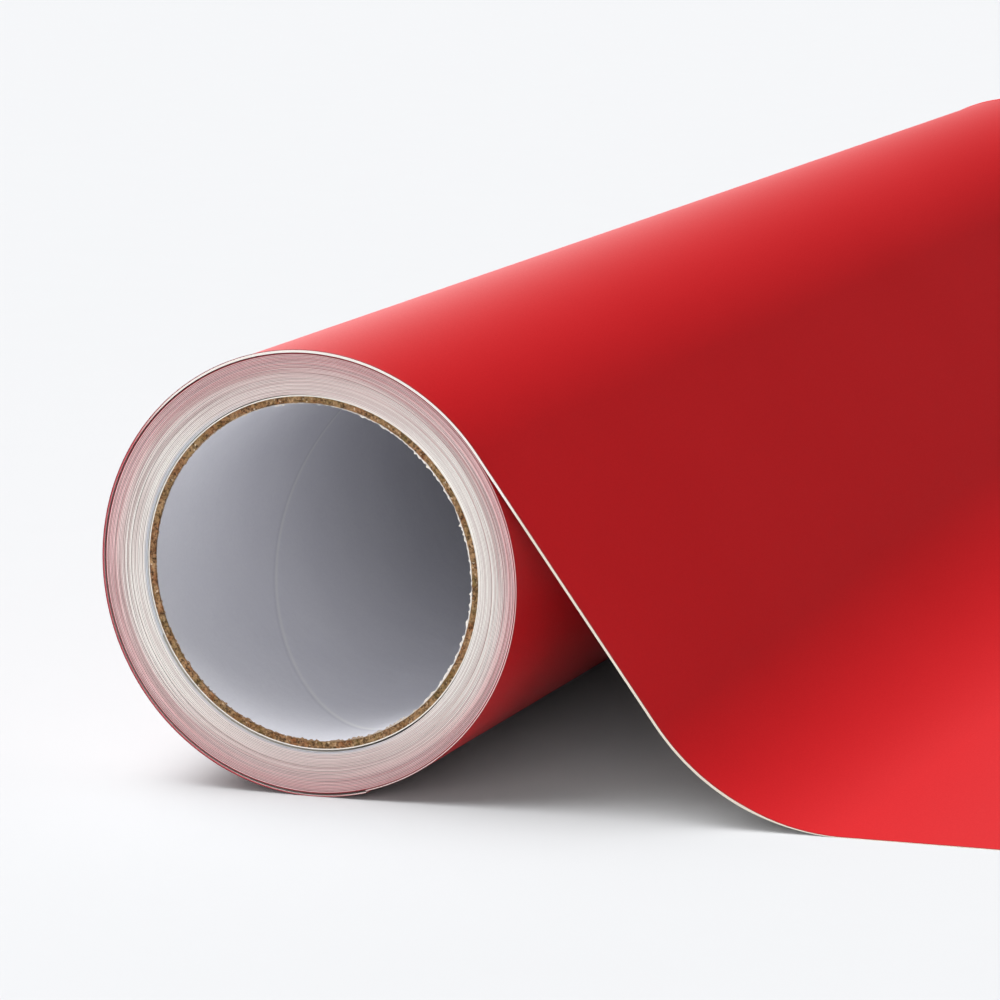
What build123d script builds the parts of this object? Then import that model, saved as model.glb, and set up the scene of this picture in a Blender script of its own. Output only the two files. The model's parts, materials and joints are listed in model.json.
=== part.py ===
"""A roll of self-adhesive sign vinyl: a spiral-wound paperboard core, about thirty
turns of web wound on it, and the loose end of the web, which leaves the top of the
roll and drapes to the floor.

The web is a coloured vinyl film on a white release liner, wound film side out. The
roll lies on the floor with its axis along Y. The origin is the centre of the core's
bore, at mid length, and +Z is up. Everything is in millimetres.
"""

import os
from math import cos, radians, sin, tan

from build123d import *

# The roll as a whole
WEB_WIDTH = 610.0  # a 24 inch web
ROLL_RADIUS = 50.7  # over the outermost lap

# The core: a 3 inch paperboard tube, laminated from plies glued one on another
BORE_RADIUS = 38.4
LINING_PLY = 0.45
BOARD_PLY = 0.4
BOARD_PLIES = 3
WRAP_PLY = 0.35

# The web
LINER = 0.16
FILM = 0.09  # with its coat of adhesive, which faces the liner
WEB = LINER + FILM

# The winding. Its laps lie tight on one side of the core and loose on the other, so
# the outer laps are centred a little off the core, along the slack line.
WOUND_TURNS = 29  # whole turns, and three quarters of another
TIGHT_ANGLE = 23.4  # the tight end of the slack line, from +X towards +Z
OFF_CENTRE = 1.23  # from the winding's axis to the core's
RUNNING_GAP = 0.3  # between the outermost wound turn and the outer lap
WOUND_RADIUS = ROLL_RADIUS - WEB - RUNNING_GAP
WOUND_PITCH = 0.31  # growth in radius over the last turn

# The strip of double-sided tape that holds the start of the web to the core, at the
# loose end of the slack line
TAPE = 0.2
TAPE_TURN = 28.0  # degrees of the core that it covers
SNUG_GAP = 0.06  # between the core and the first lap, on the tight side

# The loose web: the outer lap, the drape, the flat stretch and the free end
LAP_START = -75.0  # under the roll, just past the line where it meets the floor
LEAVE_ANGLE = 35.2  # where the web leaves the roll at a tangent
DRAPE_RADIUS = 52.0  # of the bend where the drape turns to lie on the floor
DRAPE_END = 130.0  # from the winding's axis, along X, as are the next two
FREE_END_START = 240.0
FREE_END = 300.0

CORE_SECTION = Plane.XZ
WINDING_X = -OFF_CENTRE * cos(radians(TIGHT_ANGLE))
WINDING_Z = -OFF_CENTRE * sin(radians(TIGHT_ANGLE))
# Sections across the roll, seen from the front, with x to the right and y up
WINDING_SECTION = Plane((WINDING_X, 0, WINDING_Z), x_dir=(1, 0, 0), z_dir=(0, -1, 0))
SLACK_SECTION = Plane.XZ.rotated((0, -TIGHT_ANGLE, 0))

lining_radius = BORE_RADIUS + LINING_PLY
board_radius = lining_radius + BOARD_PLIES * BOARD_PLY
core_radius = board_radius + WRAP_PLY


def tube(inner, outer):
    """One ply of the core, as long as the web is wide."""
    with BuildPart() as ply:
        with BuildSketch(CORE_SECTION):
            Circle(outer)
            Circle(inner, mode=Mode.SUBTRACT)
        extrude(amount=WEB_WIDTH / 2, both=True)
    return ply.part


def lap_edge(half_turn):
    """How far the web's inner face is from the core's axis after a number of half
    turns. Even ones end on the loose side of the slack line, odd ones on the tight."""
    last_turn = (TIGHT_ANGLE - LAP_START) / 360  # the part turn after the tight side
    if half_turn % 2 == 0:
        first = core_radius + TAPE
        last = WOUND_RADIUS - (last_turn - 0.5) * WOUND_PITCH - WEB + OFF_CENTRE
        return first + (last - first) * half_turn / (2 * WOUND_TURNS + 2)
    first = core_radius + SNUG_GAP
    last = WOUND_RADIUS - last_turn * WOUND_PITCH - WEB - OFF_CENTRE
    return first + (last - first) * (half_turn - 1) / (2 * WOUND_TURNS)


def half_turn_arc(half_turn, height, turn=-180.0):
    """Half a turn of the wound web, at a height above its inner face."""
    near, far = lap_edge(half_turn), lap_edge(half_turn + 1)
    loose_side = half_turn % 2 == 0
    centre = (far - near) / 2 if loose_side else (near - far) / 2
    start_angle = 180 if loose_side else 0
    return CenterArc((centre, 0), (near + far) / 2 + height, start_angle, turn)


def spiral(height):
    """The wound web at a height above its inner face: half turns joined at the slack
    line, where their tangents agree. The last one stops short, at the outer lap."""
    last = 2 * WOUND_TURNS + 1
    arcs = [half_turn_arc(half_turn, height) for half_turn in range(last)]
    return arcs + [half_turn_arc(last, height, LAP_START - TIGHT_ANGLE)]


def wound_layer(low, high):
    """One layer of the wound web, from a height above the web's inner face to another."""
    with BuildPart() as layer:
        with BuildSketch(SLACK_SECTION):
            with BuildLine():
                inner = spiral(low)
                outer = spiral(high)
                Line(inner[0] @ 0, outer[0] @ 0)
                Line(inner[-1] @ 1, outer[-1] @ 1)
            make_face()
        extrude(amount=WEB_WIDTH / 2, both=True)
    return layer.part


def lap_layer(low, high):
    """One layer of the outer lap, which lies on the winding from under the roll, up
    its left side and over the top."""
    inner_radius = ROLL_RADIUS - WEB
    turn = LEAVE_ANGLE - LAP_START - 360
    with BuildPart() as layer:
        with BuildSketch(WINDING_SECTION):
            with BuildLine():
                inner = CenterArc((0, 0), inner_radius + low, LAP_START, turn)
                outer = CenterArc((0, 0), inner_radius + high, LAP_START, turn)
                Line(inner @ 0, outer @ 0)
                Line(inner @ 1, outer @ 1)
            make_face()
        extrude(amount=WEB_WIDTH / 2, both=True)
    return layer.part


def drape_line(height):
    """The drape at a height above the liner's underside: straight off the roll at a
    tangent, round the bend, and onto the floor."""
    angle = radians(LEAVE_ANGLE)
    radius = ROLL_RADIUS - WEB + height
    floor = height - ROLL_RADIUS
    start = Vector(radius * cos(angle), radius * sin(angle))
    corner = Vector(start.X + (start.Y - floor) * tan(angle), floor)
    return FilletPolyline(start, corner, (DRAPE_END, floor), radius=DRAPE_RADIUS - height)


def drape_layer(low, high):
    """One layer of the drape."""
    with BuildPart() as layer:
        with BuildSketch(WINDING_SECTION):
            with BuildLine():
                under = drape_line(low)
                over = drape_line(high)
                Line(under @ 0, over @ 0)
                Line(under @ 1, over @ 1)
            make_face()
        extrude(amount=WEB_WIDTH / 2, both=True)
    return layer.part


def flat_layer(low, high, start, end):
    """One layer of a stretch of the web that lies flat on the floor."""
    with BuildPart() as layer:
        with BuildSketch(WINDING_SECTION):
            with BuildLine():
                Polyline(
                    (start, low - ROLL_RADIUS),
                    (end, low - ROLL_RADIUS),
                    (end, high - ROLL_RADIUS),
                    (start, high - ROLL_RADIUS),
                    close=True,
                )
            make_face()
        extrude(amount=WEB_WIDTH / 2, both=True)
    return layer.part


def start_tape():
    """The tape between the core and the first lap, back from the end of the web."""
    with BuildPart() as tape:
        with BuildSketch(SLACK_SECTION):
            with BuildLine():
                inner = CenterArc((0, 0), core_radius, 180, -TAPE_TURN)
                outer = half_turn_arc(0, 0, -TAPE_TURN)
                Line(inner @ 0, outer @ 0)
                Line(inner @ 1, outer @ 1)
            make_face()
        extrude(amount=WEB_WIDTH / 2, both=True)
    return tape.part


def write(name, part):
    """Labels a piece and writes it to its own file."""
    part.label = name
    export_step(part, f"parts/{name}.step")


os.makedirs("parts", exist_ok=True)

write("core_lining", tube(BORE_RADIUS, lining_radius))
for ply in range(BOARD_PLIES):
    ply_radius = lining_radius + ply * BOARD_PLY
    write(f"core_board_ply_{ply + 1}", tube(ply_radius, ply_radius + BOARD_PLY))
write("core_wrap", tube(board_radius, core_radius))
write("start_tape", start_tape())

for material, low, high in (("liner", 0, LINER), ("film", LINER, WEB)):
    write(f"wound_{material}", wound_layer(low, high))
    write(f"outer_lap_{material}", lap_layer(low, high))
    write(f"drape_{material}", drape_layer(low, high))
    write(f"flat_{material}", flat_layer(low, high, DRAPE_END, FREE_END_START))
    write(f"free_end_{material}", flat_layer(low, high, FREE_END_START, FREE_END))

wound_length = sum(arc.length for arc in spiral(WEB / 2))
lap_length = radians(360 + LAP_START - LEAVE_ANGLE) * (ROLL_RADIUS - WEB / 2)
loose_length = drape_line(WEB / 2).length + FREE_END - DRAPE_END
print(f"web {wound_length + lap_length + loose_length:.0f} mm long")
print(f"roll's axis at x {WINDING_X:.3f}, z {WINDING_Z:.3f}, floor at z {WINDING_Z - ROLL_RADIUS:.3f}")
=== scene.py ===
"""Looks for a roll of sign vinyl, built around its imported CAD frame.

Everything is in metres, in the CAD's own frame: the origin is the centre of the
core's bore, +Y runs along the roll, +X towards the loose end of the web, +Z up.
"""

import json
import math

import bpy
import numpy as np
from mathutils import Matrix, Vector


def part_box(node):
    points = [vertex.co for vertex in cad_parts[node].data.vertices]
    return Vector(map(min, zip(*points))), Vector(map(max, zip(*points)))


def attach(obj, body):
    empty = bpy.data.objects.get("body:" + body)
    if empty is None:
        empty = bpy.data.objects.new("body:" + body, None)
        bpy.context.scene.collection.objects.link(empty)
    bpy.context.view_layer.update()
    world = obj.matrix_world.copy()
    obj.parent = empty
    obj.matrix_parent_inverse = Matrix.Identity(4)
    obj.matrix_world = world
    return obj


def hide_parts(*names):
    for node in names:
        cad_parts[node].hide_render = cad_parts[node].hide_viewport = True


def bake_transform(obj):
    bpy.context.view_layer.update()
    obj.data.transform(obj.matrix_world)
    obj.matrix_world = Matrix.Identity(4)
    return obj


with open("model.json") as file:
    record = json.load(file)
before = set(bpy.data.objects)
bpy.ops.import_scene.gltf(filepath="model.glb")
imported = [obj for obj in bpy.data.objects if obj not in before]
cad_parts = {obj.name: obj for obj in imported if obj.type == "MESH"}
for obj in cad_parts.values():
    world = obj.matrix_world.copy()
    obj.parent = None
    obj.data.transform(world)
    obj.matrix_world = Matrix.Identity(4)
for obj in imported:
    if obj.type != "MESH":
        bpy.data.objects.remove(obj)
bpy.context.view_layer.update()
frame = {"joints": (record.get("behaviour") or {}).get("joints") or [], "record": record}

MM = 0.001
rng = np.random.default_rng(7)

# Sizes that the frame gives
TURN = next(j for j in frame["joints"] if j["name"] == "roll_turn")
AXIS = Vector(TURN["pos_m"])  # of the winding, which is a little off the core's
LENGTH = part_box("core_lining")[1].y * 2
NEAR, FAR = -LENGTH / 2, LENGTH / 2
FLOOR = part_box("free_end_liner")[0].z
ROLL_RADIUS = AXIS.z - FLOOR
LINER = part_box("free_end_liner")[1].z - FLOOR
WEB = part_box("free_end_film")[1].z - FLOOR
BORE = next(m for m in frame["record"]["mounts"] if m["name"] == "core_bore")["dims"]["r_mm"] * MM
OFF_CENTRE = math.hypot(AXIS.x, AXIS.z)
TIGHT = math.atan2(-AXIS.z, -AXIS.x)  # the side where the laps lie tight
LEAVE = math.asin((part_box("drape_film")[1].z - AXIS.z) / ROLL_RADIUS)
FREE_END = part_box("free_end_film")[1].x

# Design sizes of the CAD that the frame doesn't give
BEND = 52.0 * MM
LAP_START = math.radians(-75)
WOUND_TURNS = 29
WOUND_PITCH = 0.31 * MM
RUNNING_GAP = 0.3 * MM
TAPE = 0.2 * MM
TAPE_TURN = math.radians(28)
SNUG_GAP = 0.06 * MM

# Sizes that only the looks have
FAR_BEND = 0.3  # how much wider the bend is away from the near end
WRAP_SCUFF = 0.1 * MM  # worn off the core's wrap
SEAM_LEAD = 0.213  # how far the lining's wound seam climbs in one turn
SEAM_START = math.radians(299)  # where it meets the near end, from +X towards +Z
FILM_INSET = 0.05 * MM  # how far the film's cut edge is behind the liner's
STAINED_LAPS = (42.5 * MM, 46.5 * MM)  # between these radii the laps' edges get more stained


def radius_of(node):
    """The outer radius of a ply of the core."""
    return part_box(node)[1].x


# ---------------------------------------------------------------- meshes

def mesh_object(name, vertices, faces, material, sharp=35):
    mesh = bpy.data.meshes.new(name)
    mesh.from_pydata([tuple(v) for v in vertices], [], [tuple(f) for f in faces])
    mesh.validate()
    mesh.polygons.foreach_set("use_smooth", [True] * len(mesh.polygons))
    mesh.set_sharp_from_angle(angle=math.radians(sharp))
    mesh.materials.append(material)
    piece = bpy.data.objects.new(name, mesh)
    bpy.context.scene.collection.objects.link(piece)
    return piece


def grid_faces(rows, columns, start=0, flip=False, closed=False):
    """Quads between the rows of a grid of vertices that begins at index start."""
    r = np.arange(rows if closed else rows - 1)[:, None]
    c = np.arange(columns - 1)[None, :]
    nxt = (r + 1) % rows
    a, b = r * columns + c, nxt * columns + c
    quads = np.stack([a, b, b + 1, a + 1], -1).reshape(-1, 4) + start
    return quads[:, ::-1] if flip else quads


def slab(name, inner, outer, material, closed=False):
    """A closed sheet between two grids of points, (along, across, 3) each. Along is the
    web's length or the way round a tube, and across is the roll's length."""
    rows, columns = inner.shape[:2]
    vertices = np.concatenate([inner.reshape(-1, 3), outer.reshape(-1, 3)])
    half = rows * columns
    faces = [grid_faces(rows, columns, 0, True, closed), grid_faces(rows, columns, half, False, closed)]
    r = np.arange(rows if closed else rows - 1)
    nxt = (r + 1) % rows
    for column, flip in ((0, False), (columns - 1, True)):
        a, b = r * columns + column, nxt * columns + column
        rim = np.stack([a, b, b + half, a + half], -1)
        faces.append(rim[:, ::-1] if flip else rim)
    if not closed:
        c = np.arange(columns - 1)
        for row, flip in ((0, True), (rows - 1, False)):
            a = row * columns + c
            cap = np.stack([a, a + 1, a + 1 + half, a + half], -1)
            faces.append(cap[:, ::-1] if flip else cap)
    return mesh_object(name, vertices, np.concatenate(faces), material)


def smooth_noise(count, spacing, closed=False):
    """Random values from -1 to 1, one every so many samples, with smooth curves between."""
    knots = max(int(count / spacing), 2)
    values = rng.uniform(-1, 1, knots + 1)
    if closed:
        values[-1] = values[0]
    at = np.linspace(0, knots, count, endpoint=not closed)
    low = np.minimum(at.astype(int), knots - 1)
    t = at - low
    t = t * t * (3 - 2 * t)
    return values[low] * (1 - t) + values[low + 1] * t


def stations(count, rim_steps):
    """Places along the roll, close together at its two ends."""
    middle = np.linspace(NEAR + rim_steps[-1], FAR - rim_steps[-1], count)
    near = [NEAR + s for s in rim_steps[:-1]]
    far = [FAR - s for s in reversed(rim_steps[:-1])]
    return np.concatenate([near, middle, far])


# ---------------------------------------------------------------- materials

class Nodes:
    """A short way to build a node tree."""

    def __init__(self, tree):
        self.tree = tree

    def add(self, kind, inputs=None, **settings):
        node = self.tree.nodes.new(kind)
        for key, value in settings.items():
            setattr(node, key, value)
        for key, value in (inputs or {}).items():
            self.set(node, key, value)
        return node

    def set(self, node, key, value):
        if isinstance(value, bpy.types.NodeSocket):
            self.tree.links.new(value, node.inputs[key])
        else:
            node.inputs[key].default_value = value

    def math(self, operation, a, b=None, c=None):
        node = self.add("ShaderNodeMath", operation=operation)
        for key, value in enumerate((a, b, c)):
            if value is not None:
                self.set(node, key, value)
        return node.outputs[0]

    def vector(self, operation, a, b=None, scale=None):
        inputs = {key: value for key, value in ((0, a), (1, b), ("Scale", scale)) if value is not None}
        return self.add("ShaderNodeVectorMath", inputs, operation=operation).outputs["Vector"]

    def length(self, vector):
        return self.add("ShaderNodeVectorMath", {0: vector}, operation="LENGTH").outputs["Value"]

    def dot(self, a, b):
        return self.add("ShaderNodeVectorMath", {0: a, 1: b}, operation="DOT_PRODUCT").outputs["Value"]

    def parts(self, vector):
        """The X, Y and Z outputs of a vector."""
        return self.add("ShaderNodeSeparateXYZ", {"Vector": vector}).outputs

    def mix(self, factor, a, b):
        node = self.add("ShaderNodeMix", data_type="RGBA")
        self.set(node, "Factor", factor)
        self.set(node, 6, a)
        self.set(node, 7, b)
        return node.outputs[2]

    def noise(self, coordinates, scale, detail=3.0, roughness=0.55):
        node = self.add("ShaderNodeTexNoise", {"Vector": coordinates, "Scale": scale, "Detail": detail})
        node.inputs["Roughness"].default_value = roughness
        return node.outputs["Fac"]

    def spread(self, value, low, high, to_low=0.0, to_high=1.0):
        node = self.add("ShaderNodeMapRange", {"Value": value, "From Min": low, "From Max": high})
        node.inputs["To Min"].default_value = to_low
        node.inputs["To Max"].default_value = to_high
        return node.outputs["Result"]

    def bumps(self, *layers):
        """Bumps from (height, distance in metres) pairs, one on another."""
        normal = None
        for height, distance in layers:
            node = self.add("ShaderNodeBump", {"Height": height, "Distance": distance, "Strength": 1.0})
            if normal is not None:
                self.set(node, "Normal", normal)
            normal = node.outputs["Normal"]
        return normal


def material(name, specular):
    """A material with a Principled shader, its node builder, and object coordinates."""
    made = bpy.data.materials.new(name)
    made.use_nodes = True
    nodes = Nodes(made.node_tree)
    shader = made.node_tree.nodes["Principled BSDF"]
    shader.inputs["Specular IOR Level"].default_value = specular
    coordinates = nodes.add("ShaderNodeTexCoord").outputs["Object"]
    return made, nodes, shader, coordinates


def srgb(red, green, blue):
    """A colour's linear values from its 0 to 255 ones."""
    def linear(value):
        value /= 255
        return value / 12.92 if value <= 0.04045 else ((value + 0.055) / 1.055) ** 2.4
    return (linear(red), linear(green), linear(blue), 1.0)


def end_face(nodes):
    """1 on the roll's two end faces, and 0 on the sides."""
    normal = nodes.add("ShaderNodeNewGeometry").outputs["True Normal"]
    return nodes.spread(nodes.math("ABSOLUTE", nodes.parts(normal)["Y"]), 0.5, 0.8)


def lap_radius(nodes, coordinates):
    """How far a point on an end face is from the centre of its own lap, in metres. The
    inner laps are centred on the core and the outer ones on the winding's axis."""
    flat = nodes.vector("MULTIPLY", coordinates, (1, 0, 1))
    outward = nodes.spread(nodes.length(flat), radius_of("core_wrap"), ROLL_RADIUS)
    centre = nodes.vector("SCALE", AXIS, scale=outward)
    return nodes.length(nodes.vector("SUBTRACT", flat, centre))


def lap_tone(nodes, coordinates, radius, laps):
    """Noise that runs round the roll with the laps, in bands some laps wide."""
    flat = nodes.vector("MULTIPLY", coordinates, (1, 0, 1))
    way = nodes.parts(nodes.vector("NORMALIZE", flat))
    across = nodes.math("DIVIDE", radius, laps * WOUND_PITCH)
    band = nodes.add("ShaderNodeCombineXYZ", {"X": across, "Y": way["X"], "Z": way["Z"]})
    return nodes.noise(band.outputs[0], 1.0, 2.0)


def lower_left(nodes, coordinates, low, high):
    """1 at the roll's lower left, and 0 at its upper right. Low and high are where it
    changes, in metres to the upper right of the core's centre."""
    upper_right = (0.87, 0, 0.49)
    return nodes.spread(nodes.dot(coordinates, upper_right), low, high, 1.0, 0.0)


def vinyl_material():
    """Satin film: a fine grain and a faint peel on the face, and a pale, pink cut edge
    where the knife has left adhesive, redder towards the outside of the roll."""
    made, nodes, shader, at = material("vinyl_film", 0.3)
    broad = nodes.noise(at, 14.0, 2.0)
    grain = nodes.noise(at, 2400.0, 3.0, 0.65)
    face = nodes.mix(nodes.spread(broad, 0.3, 0.7), srgb(219, 25, 32), srgb(222, 28, 35))
    face = nodes.mix(nodes.spread(grain, 0.3, 0.7, 0.0, 0.34), face, srgb(200, 16, 26))
    radius = lap_radius(nodes, at)
    edge = nodes.mix(nodes.spread(radius, 44.0 * MM, 47.8 * MM), srgb(190, 172, 168), srgb(150, 26, 46))
    tone = nodes.spread(lap_tone(nodes, at, radius, 1.3), 0.45, 0.56, 0.0, 0.9)
    lines = nodes.math("MULTIPLY", tone, nodes.spread(radius, *STAINED_LAPS, 0.45, 1.0))
    edge = nodes.mix(lines, edge, srgb(56, 24, 30))
    last_laps = nodes.spread(radius, 49.4 * MM, 49.6 * MM)
    edge = nodes.mix(last_laps, edge, srgb(140, 22, 36))
    colour = nodes.mix(end_face(nodes), face, edge)
    # what the film throws back on the pale floor is toned down, to keep the floor clean
    bounced = nodes.add("ShaderNodeLightPath").outputs["Is Diffuse Ray"]
    colour = nodes.mix(nodes.math("MULTIPLY", bounced, 0.8), colour, (0.34, 0.34, 0.33, 1.0))
    nodes.set(shader, "Base Color", colour)
    nodes.set(shader, "Roughness", nodes.spread(grain, 0.25, 0.8, 0.36, 0.42))
    peel = (nodes.noise(at, 700.0, 2.0, 0.5), 0.004 * MM)
    fine = (grain, 0.006 * MM)
    nodes.set(shader, "Normal", nodes.bumps(peel, fine))
    return made


def liner_material():
    """Clay-coated paper, with a smooth face and a fibrous cut edge that takes a little
    colour from the film round it."""
    made, nodes, shader, at = material("release_liner", 0.35)
    cloudy = nodes.noise(at, 140.0, 4.0)
    fibres = nodes.noise(at, 1500.0, 5.0, 0.65)
    face = nodes.mix(nodes.spread(cloudy, 0.3, 0.7), srgb(232, 229, 224), srgb(240, 238, 234))
    face = nodes.mix(nodes.spread(fibres, 0.45, 0.8, 0.0, 0.4), face, srgb(222, 214, 204))
    radius = lap_radius(nodes, at)
    edge = nodes.mix(nodes.spread(radius, 45.2 * MM, 48.5 * MM), srgb(252, 248, 242), srgb(243, 200, 201))
    tone = nodes.spread(lap_tone(nodes, at, radius, 1.6), 0.45, 0.58, 0.0, 0.75)
    lines = nodes.math("MULTIPLY", tone, nodes.spread(radius, *STAINED_LAPS, 0.5, 1.0))
    edge = nodes.mix(lines, edge, srgb(176, 140, 140))
    # darker towards the top and the bottom of the roll
    height = nodes.math("ABSOLUTE", nodes.parts(at)["Z"])
    edge = nodes.mix(nodes.spread(height, 26 * MM, 44 * MM, 0.0, 0.6), edge, srgb(208, 172, 172))
    # the outer lap's edge is stained at the lower left, pale over the top, and cream down the drape
    stained = lower_left(nodes, at, -24 * MM, -10 * MM)
    outer_lap = nodes.mix(stained, srgb(247, 240, 233), srgb(196, 92, 100))
    outer_lap = nodes.mix(nodes.spread(radius, 51.5 * MM, 53.5 * MM), outer_lap, srgb(232, 222, 205))
    edge = nodes.mix(nodes.spread(radius, 49.8 * MM, 50.2 * MM), edge, outer_lap)
    # painted shade: a cool grey on the liner's cut edge, towards the lower left, for the shadow in the gap
    # where the first laps stand off the core
    gap_shade = nodes.spread(radius, 40.8 * MM, 41.5 * MM, 0.85, 0.0)
    gap_shade = nodes.math("MULTIPLY", gap_shade, lower_left(nodes, at, -12 * MM, 6 * MM))
    edge = nodes.mix(gap_shade, edge, srgb(190, 202, 217))
    edge = nodes.mix(nodes.spread(fibres, 0.5, 0.8, 0.0, 0.3), edge, srgb(226, 214, 202))
    nodes.set(shader, "Base Color", nodes.mix(end_face(nodes), face, edge))
    nodes.set(shader, "Roughness", nodes.spread(cloudy, 0.3, 0.7, 0.42, 0.6))
    nodes.set(shader, "Normal", nodes.bumps((fibres, 0.03 * MM)))
    return made


def board_material():
    """Grey-brown chipboard, torn by the saw: clumps of fibre, pale flecks and pits."""
    made, nodes, shader, at = material("core_board", 0.15)
    stretched = nodes.add("ShaderNodeMapping", {"Vector": at, "Scale": (1.0, 0.25, 1.0)}).outputs[0]
    fibres = nodes.noise(stretched, 1700.0, 6.0, 0.72)
    clumps = nodes.noise(at, 520.0, 4.0, 0.65)
    hue = nodes.noise(at, 190.0, 3.0)
    pulp = nodes.mix(nodes.spread(hue, 0.4, 0.6), srgb(124, 104, 62), srgb(148, 94, 58))
    face = nodes.mix(nodes.spread(clumps, 0.36, 0.66), pulp, srgb(186, 150, 112))
    face = nodes.mix(nodes.spread(fibres, 0.4, 0.56, 0.95, 0.0), face, srgb(66, 44, 28))
    flecks = nodes.spread(nodes.noise(at, 1200.0, 2.0), 0.64, 0.72, 0.0, 0.75)
    nodes.set(shader, "Base Color", nodes.mix(flecks, face, srgb(226, 206, 178)))
    nodes.set(shader, "Roughness", nodes.spread(clumps, 0.3, 0.7, 0.82, 0.95))
    nodes.set(shader, "Normal", nodes.bumps((clumps, 0.2 * MM), (fibres, 0.14 * MM)))
    return made


def lining_material():
    """The pale, smooth paper inside the core, with the faint step of its wound seam."""
    made, nodes, shader, at = material("core_lining", 0.3)
    place = nodes.parts(at)
    around = nodes.math("ARCTAN2", place["Z"], place["X"])
    # the phase goes from 0 to 1 along each turn of the ply, with the seam in the middle
    climb = nodes.math("DIVIDE", nodes.math("SUBTRACT", place["Y"], NEAR), SEAM_LEAD)
    turn = nodes.math("DIVIDE", nodes.math("SUBTRACT", around, SEAM_START - math.pi), 2 * math.pi)
    phase = nodes.math("FRACT", nodes.math("ADD", climb, turn))
    seam, beside, half_width = 0.5, 0.507, 0.006
    step, step_highlight = (
        nodes.spread(nodes.math("ABSOLUTE", nodes.math("SUBTRACT", phase, middle)), 0.0, half_width, 1.0, 0.0)
        for middle in (seam, beside)
    )
    cloudy = nodes.noise(at, 45.0, 4.0)
    fibres = nodes.noise(at, 1300.0, 4.0, 0.6)
    face = nodes.mix(nodes.spread(cloudy, 0.3, 0.7), srgb(237, 237, 243), srgb(242, 242, 247))
    face = nodes.mix(nodes.spread(fibres, 0.4, 0.8, 0.0, 0.4), face, srgb(230, 229, 237))
    # painted shade: a faint grey line along the seam's step; painted highlight: a white line beside it, on
    # the deeper side
    face = nodes.mix(nodes.math("MULTIPLY", step, 0.16), face, srgb(182, 182, 192))
    face = nodes.mix(nodes.math("MULTIPLY", step_highlight, 0.7), face, srgb(255, 255, 255))
    torn = nodes.mix(nodes.spread(fibres, 0.4, 0.7), srgb(246, 242, 236), srgb(222, 212, 200))
    # on the lower left the cut end is torn down to the board
    torn = nodes.mix(lower_left(nodes, at, -16 * MM, 16 * MM), torn, srgb(150, 118, 86))
    nodes.set(shader, "Base Color", nodes.mix(end_face(nodes), face, torn))
    nodes.set(shader, "Roughness", nodes.spread(cloudy, 0.3, 0.7, 0.5, 0.62))
    nodes.set(shader, "Normal", nodes.bumps((cloudy, 0.4 * MM), (step, 0.04 * MM), (fibres, 0.02 * MM)))
    return made


def wrap_material():
    """The white paper round the outside of the core."""
    made, nodes, shader, at = material("core_wrap", 0.3)
    fibres = nodes.noise(at, 1500.0, 5.0, 0.65)
    cloudy = nodes.noise(at, 200.0, 3.0)
    face = nodes.mix(nodes.spread(fibres, 0.3, 0.7), srgb(250, 246, 240), srgb(236, 228, 218))
    face = nodes.mix(nodes.spread(cloudy, 0.4, 0.8, 0.0, 0.4), face, srgb(222, 212, 202))
    nodes.set(shader, "Base Color", face)
    nodes.set(shader, "Roughness", nodes.spread(cloudy, 0.3, 0.7, 0.7, 0.85))
    nodes.set(shader, "Normal", nodes.bumps((fibres, 0.05 * MM)))
    return made


def tape_material():
    """Milky double-sided tissue tape."""
    made, nodes, shader, at = material("tape", 0.5)
    tissue = nodes.noise(at, 900.0, 5.0, 0.6)
    milky = nodes.mix(nodes.spread(tissue, 0.3, 0.7), srgb(196, 206, 216), srgb(222, 228, 234))
    nodes.set(shader, "Base Color", milky)
    nodes.set(shader, "Roughness", nodes.spread(tissue, 0.3, 0.7, 0.3, 0.5))
    nodes.set(shader, "Normal", nodes.bumps((tissue, 0.03 * MM)))
    return made


def floor_material():
    made, nodes, shader, at = material("studio_floor", 0.0)
    shader.inputs["Roughness"].default_value = 0.9
    cloudy = nodes.noise(at, 40.0, 2.0)
    nodes.set(shader, "Base Color", nodes.mix(cloudy, srgb(219, 220, 222), srgb(220, 221, 223)))
    return made


VINYL = vinyl_material()
PAPER = liner_material()
BOARD = board_material()
LINING = lining_material()
WRAP = wrap_material()
TISSUE = tape_material()


# ---------------------------------------------------------------- the core

CORE_STEPS = 1440  # round a ply of the core


def tube_grid(radius, y, angle):
    """Points of a tube about the core's axis. The arguments are (around, across) arrays."""
    return np.stack([radius * np.cos(angle), y, radius * np.sin(angle)], -1)


def ply(name, inner, outer, mat, recess, fray, roughness, rows=4):
    """One ply of the core. Its cut ends are recessed and frayed inwards by the values
    round the core in two arrays, and roughness is how far the fibres on them stand up."""
    angle = np.linspace(0, 2 * math.pi, CORE_STEPS, endpoint=False)[:, None]
    across = stations(rows, [0.0, 0.4 * MM, 1.2 * MM])[None, :] + 0 * angle
    for column, sign in ((0, 1), (across.shape[1] - 1, -1)):
        fine = 0.5 + 0.5 * smooth_noise(CORE_STEPS, 4, True)
        across[:, column] += sign * (recess + roughness * fine)
    angles = angle + 0 * across
    inside = inner + 0 * across
    for column, share in ((0, 1), (-1, 1), (1, 0.3), (-2, 0.3)):
        inside[:, column] -= fray * share
    piece = slab(name, tube_grid(inside, across, angles), tube_grid(outer, across, angles), mat, True)
    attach(piece, "roll")
    return piece


def unevenness(*spacings):
    """Noise from 0 to 1 round the core, the mean of layers with these spacings."""
    return sum(0.5 + 0.5 * smooth_noise(CORE_STEPS, spacing, True) for spacing in spacings) / len(spacings)


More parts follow.
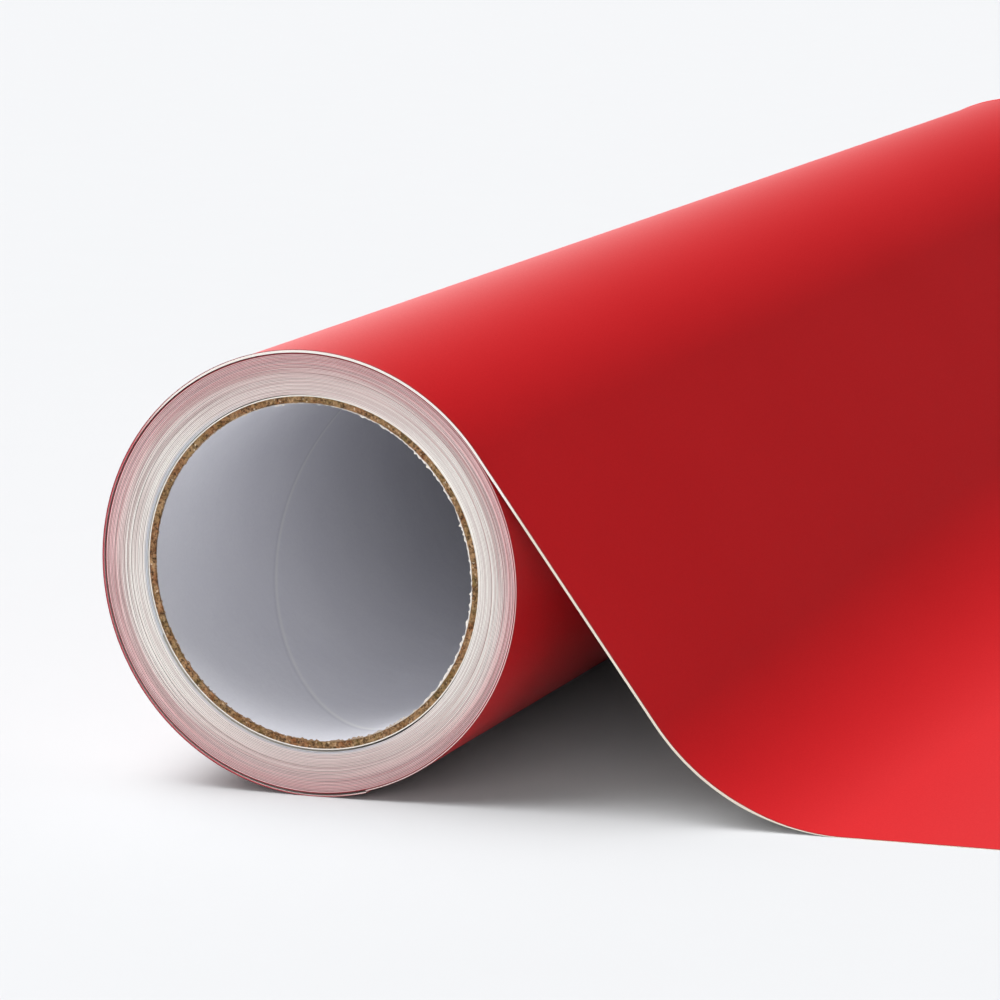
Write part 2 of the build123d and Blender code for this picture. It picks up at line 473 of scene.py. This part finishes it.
def core():
    even = np.zeros(CORE_STEPS)
    angle = np.linspace(0, 2 * math.pi, CORE_STEPS, endpoint=False)
    left = 0.5 - 0.5 * np.cos(angle + math.radians(20))  # 1 on the left, 0 on the right
    skin = BORE + 0.12 * MM  # the lining is scuffed thin where it meets the board
    # the lining tears back on the left, and on the right its torn lip stands up
    torn = ((0.1 + 0.6 * left) * unevenness(22, 9) + 0.25 * unevenness(5)) * MM
    lip = (0.9 - 0.7 * left) * unevenness(7, 3) ** 2 * MM
    bore = ply("lining", BORE, skin, LINING, torn, lip, 0.15 * MM, 90)
    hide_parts("core_lining")
    inner = skin
    for number in (1, 2, 3):
        node = f"core_board_ply_{number}"
        pits = -0.3 * MM * unevenness(9, 4) ** 2 if number == 1 else even
        worn = 0.1 * MM * unevenness(30)
        board = ply(f"board_ply_{number}", inner, radius_of(node), BOARD, worn, pits, 0.14 * MM)
        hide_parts(node)
        inner = radius_of(node)
    rim = radius_of("core_wrap") - WRAP_SCUFF
    wrap = ply("wrap", inner, rim, WRAP, even, even, 0.06 * MM)
    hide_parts("core_wrap")


# ---------------------------------------------------------------- the wound web

def lap_edge(half_turn):
    """How far the web's inner face is from the core's axis after a number of half
    turns, as in part.py: even ones on the loose side, odd ones on the tight."""
    core_radius = radius_of("core_wrap")
    wound = ROLL_RADIUS - WEB - RUNNING_GAP
    last_turn = (TIGHT - LAP_START) / (2 * math.pi)
    if half_turn % 2 == 0:
        first = core_radius + TAPE
        last = wound - (last_turn - 0.5) * WOUND_PITCH - WEB + OFF_CENTRE
        return first + (last - first) * half_turn / (2 * WOUND_TURNS + 2)
    first = core_radius + SNUG_GAP
    last = wound - last_turn * WOUND_PITCH - WEB - OFF_CENTRE
    return first + (last - first) * (half_turn - 1) / (2 * WOUND_TURNS)


def spiral(step):
    """The wound web's inner face every so many radians: where its arc is centred, along
    the line from the loose side to the tight one, its radius, and how far it has turned."""
    samples = []
    last = 2 * WOUND_TURNS + 1
    for half_turn in range(last + 1):
        near, far = lap_edge(half_turn), lap_edge(half_turn + 1)
        side = 1 if half_turn % 2 == 0 else -1
        span = math.pi if half_turn < last else TIGHT - LAP_START
        for turned in np.arange(0, span - step / 2, step):
            samples.append((side * (far - near) / 2, (near + far) / 2, half_turn * math.pi + turned))
    samples.append((side * (far - near) / 2, (near + far) / 2, last * math.pi + span))
    return np.array(samples)


def wound_points(samples, height):
    """Points in the roll's section, (along, 2), at a height above the web's inner face."""
    centre, radius, turned = samples.T
    angle = TIGHT + math.pi - turned
    x = centre * math.cos(TIGHT) + (radius + height) * np.cos(angle)
    z = centre * math.sin(TIGHT) + (radius + height) * np.sin(angle)
    return np.stack([x, z], -1)


def swept(points, across):
    """A (along, across, 3) grid from section points, (along, 2) or (along, across, 2)."""
    if points.ndim == 2:
        points = np.repeat(points[:, None, :], across.shape[1], 1)
    return np.stack([points[..., 0], across, points[..., 1]], -1)


def smooth_step(value, low, high):
    """0 below low, 1 above high, and a smooth curve between."""
    t = np.clip((value - low) / (high - low), 0, 1)
    return t * t * (3 - 2 * t)


def wound_web():
    step = math.radians(1.5)
    per_turn = int(round(2 * math.pi / step))
    samples = spiral(step)
    turned = samples[:, 2]
    count = len(samples)
    end = turned[-1]
    to_end = end - turned
    # the last part turn springs away from the turn under it, by less than the running gap
    lift = 0.14 * MM * smooth_step(turned, end - math.radians(150), end - math.radians(95))
    distance = np.linalg.norm(wound_points(samples, lift), axis=1)
    gap = np.zeros(count)
    gap[per_turn:] = distance[per_turn:] - distance[:-per_turn] - WEB
    # the knife presses the cut edges together, except under the last part turn
    covered = 1 - smooth_step(turned, end - math.radians(170), end - math.radians(110))
    pressed = 0.8 * np.clip(gap, 0, None) * covered
    # on the tight side the first lap's edge sits on the core
    tight = np.cos(turned[:per_turn] + math.pi)
    pressed[:per_turn] = (SNUG_GAP + WRAP_SCUFF) * smooth_step(tight, 0.1, 0.7)
    # and the last turn under the outer lap has its film's edge spread
    last_turn = smooth_step(turned, end - math.radians(560), end - math.radians(480))
    crown = 0.13 * MM * covered * last_turn
    # every lap's edge is at its own depth, except near the web's end
    slow, fast = smooth_noise(count, per_turn * 1.3), smooth_noise(count, per_turn * 0.4)
    recess = 0.12 * MM + (0.09 * slow + 0.05 * fast) * MM * np.clip(to_end / 6, 0, 1)
    for name, low, high, mat, slot, inset in (
        ("wound_liner_laps", 0.0, LINER, PAPER, "release_liner", 0.0),
        ("wound_film_laps", LINER, WEB, VINYL, "vinyl_film", FILM_INSET),
    ):
        across = stations(3, [0.0, 0.8 * MM])[None, :] + np.zeros((count, 1))
        across[:, 0] += recess + inset
        across[:, -1] -= recess + inset
        inner = swept(wound_points(samples, low + lift), across)
        outer = swept(wound_points(samples, high + lift), across)
        for column in (0, -1):
            if low == 0:
                inner[:, column, ::2] = wound_points(samples, low + lift - pressed)
            else:
                outer[:, column, ::2] = wound_points(samples, high + lift + crown)
        piece = slab(name, inner, outer, mat)
        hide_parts("wound_liner" if low == 0 else "wound_film")
        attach(piece, "roll")


def start_tape():
    turned = np.linspace(0, TAPE_TURN, 40)
    near, far = lap_edge(0), lap_edge(1)
    first_lap = np.stack([0 * turned + (far - near) / 2, 0 * turned + (near + far) / 2, turned], -1)
    on_core = np.stack([0 * turned, 0 * turned + radius_of("core_wrap"), turned], -1)
    across = stations(3, [4 * MM, 6 * MM])[None, :] + 0 * turned[:, None]
    under = swept(wound_points(on_core, 0.01 * MM), across)
    tape = slab("tape", under, swept(wound_points(first_lap, -0.01 * MM), across), TISSUE)
    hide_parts("start_tape")
    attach(tape, "roll")


# ---------------------------------------------------------------- the loose web

# Places round the outer lap, from its start under the roll to where it leaves the roll
LAP_ANGLES = [*np.arange(LAP_START + 2 * math.pi, LEAVE, -math.radians(0.75)), LEAVE]


def loose_line(bend):
    """The loose web's underside for one radius of bend: points and outward normals in
    the section, (along, 2) each. Every bend has the same number of points."""
    centre = np.array([AXIS.x, AXIS.z])
    normals = [np.array([math.cos(a), math.sin(a)]) for a in LAP_ANGLES]
    points = [centre + (ROLL_RADIUS - WEB) * normal for normal in normals]
    leave, normal = points[-1], normals[-1]
    heading = np.array([normal[1], -normal[0]])
    drop = math.pi / 2 - LEAVE  # how far the drape turns to lie flat
    straight = (leave[1] - FLOOR) / -heading[1] - bend * math.tan(drop / 2)
    for share in np.linspace(0, 1, 60)[1:]:
        points.append(leave + heading * straight * share)
        normals.append(normal)
    bend_centre = points[-1] + normal * bend
    for a in np.linspace(0, drop, 50)[1:]:
        turned = np.array([math.cos(LEAVE + a), math.sin(LEAVE + a)])
        points.append(bend_centre - turned * bend)
        normals.append(turned)
    for x in np.linspace(points[-1][0], FREE_END, 70)[1:]:
        points.append(np.array([x, FLOOR]))
        normals.append(np.array([0.0, 1.0]))
    return np.array(points), np.array(normals)


def loose_web():
    across = stations(61, [0.0, 0.35 * MM, 0.9 * MM, 2.0 * MM])
    # the bend opens out a little away from the near end
    bends = BEND * (1 + FAR_BEND * smooth_step(across, NEAR, 0.0))
    lines = [loose_line(bend) for bend in bends]
    points = np.stack([line[0] for line in lines], 1)
    normals = np.stack([line[1] for line in lines], 1)
    count = len(points)
    across = across[None, :] + np.zeros((count, 1))
    # the slitting knife raises a burr on the cut edges, which the flat stretch presses
    # out: the liner's is widest over the top of the roll and down the drape
    from_end = np.minimum(across - NEAR, FAR - across)
    burr = np.clip(1 - from_end / (1.1 * MM), 0, 1) ** 1.5
    lap_turn = np.clip(np.arange(count) / (len(LAP_ANGLES) - 1), 0, 1) * (LAP_ANGLES[0] - LEAVE)
    opened = smooth_step(lap_turn, math.radians(115), math.radians(195))[:, None]
    off_floor = np.clip((points[..., 1] - FLOOR) / (5 * MM), 0, 1)
    tucked = smooth_step(lap_turn, 0, math.radians(12))[:, None]
    raised = burr * off_floor * tucked
    liner_low = -raised * 0.16 * MM
    seam = raised * (-0.08 + 0.32 * opened) * MM
    film_high = raised * (0.10 + 0.16 * opened) * MM
    for name, low, high, mat, slot, inset in (
        ("loose_liner", liner_low, LINER + seam, PAPER, "release_liner", 0.0),
        ("loose_film", LINER + seam, WEB + film_high, VINYL, "vinyl_film", FILM_INSET),
    ):
        rim = across.copy()
        rim[:, 0] += inset
        rim[:, -1] -= inset
        inner = swept(points + normals * low[..., None], rim)
        outer = swept(points + normals * high[..., None], rim)
        piece = slab(name, inner, outer, mat)
        layer = name.removeprefix("loose_")
        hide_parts(*[f"{stretch}_{layer}" for stretch in ("outer_lap", "drape", "flat", "free_end")])
        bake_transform(piece)


# ---------------------------------------------------------------- the studio

# The light from all round, and the softboxes: towards each, how narrow, how bright
BASE_LIGHT = 0.05
SOFTBOXES = (
    ((-0.40, -0.05, 0.9), 15.0, 10.4),
    ((0.14, -1.0, 0.05), 8.0, 3.35),
    ((-0.57, 0.81, 0.07), 20.0, 1.7),
)


def studio():
    reach = 14.0  # of the floor, either way
    corners = [(x * reach, y * reach, FLOOR) for x, y in ((-1, -1), (1, -1), (1, 1), (-1, 1))]
    mesh = bpy.data.meshes.new("floor")
    mesh.from_pydata(corners, [], [(0, 1, 2, 3)])
    mesh.materials.append(floor_material())
    floor = bpy.data.objects.new("floor", mesh)
    bpy.context.scene.collection.objects.link(floor)

    world = bpy.data.worlds.new("studio")
    bpy.context.scene.world = world
    world.use_nodes = True
    nodes = Nodes(world.node_tree)
    background = world.node_tree.nodes["Background"]
    direction = nodes.add("ShaderNodeTexCoord").outputs["Generated"]
    light = BASE_LIGHT
    for towards, narrowness, strength in SOFTBOXES:
        facing = nodes.dot(direction, Vector(towards).normalized())
        lobe = nodes.math("POWER", nodes.math("MAXIMUM", facing, 0.0), narrowness)
        light = nodes.math("ADD", light, nodes.math("MULTIPLY", lobe, strength))
    # the camera sees a plain backdrop, which lights nothing
    seen = nodes.add("ShaderNodeLightPath").outputs["Is Camera Ray"]
    shade = nodes.add("ShaderNodeMix", {"Factor": seen, "A": light, "B": 1.0}, data_type="FLOAT")
    nodes.set(background, "Strength", shade.outputs["Result"])
    nodes.set(background, "Color", nodes.mix(seen, (1.0, 1.0, 1.0, 1.0), srgb(246, 247, 249)))
    bpy.context.scene.view_settings.view_transform = "Standard"


# The camera, seen from the roll's near end: how far it is turned, tipped down and rolled
CAMERA_TURN = math.radians(21.68)
CAMERA_TIP = math.radians(10.30)
CAMERA_ROLL = math.radians(-1.08)
CAMERA_FROM_ROLL_END = Vector((0.40441, -0.89974, 0.19541))
CAMERA_SENSOR = 36.0
CAMERA_LENS = 162.0


def camera():
    forward = Vector((
        -math.sin(CAMERA_TURN) * math.cos(CAMERA_TIP),
        math.cos(CAMERA_TURN) * math.cos(CAMERA_TIP),
        -math.sin(CAMERA_TIP),
    ))
    right = forward.cross(Vector((0, 0, 1))).normalized()
    up = right.cross(forward)
    turn = Matrix((right, up, -forward)).transposed() @ Matrix.Rotation(CAMERA_ROLL, 3, "Z")
    data = bpy.data.cameras.new("camera")
    data.lens = CAMERA_LENS
    data.sensor_width = CAMERA_SENSOR
    data.clip_end = 100.0
    viewer = bpy.data.objects.new("camera", data)
    place = Vector((AXIS.x, NEAR, AXIS.z)) + CAMERA_FROM_ROLL_END
    viewer.matrix_world = Matrix.Translation(place) @ turn.to_4x4()
    bpy.context.scene.collection.objects.link(viewer)
    bpy.context.scene.camera = viewer


camera()
studio()
core()
wound_web()
start_tape()
loose_web()
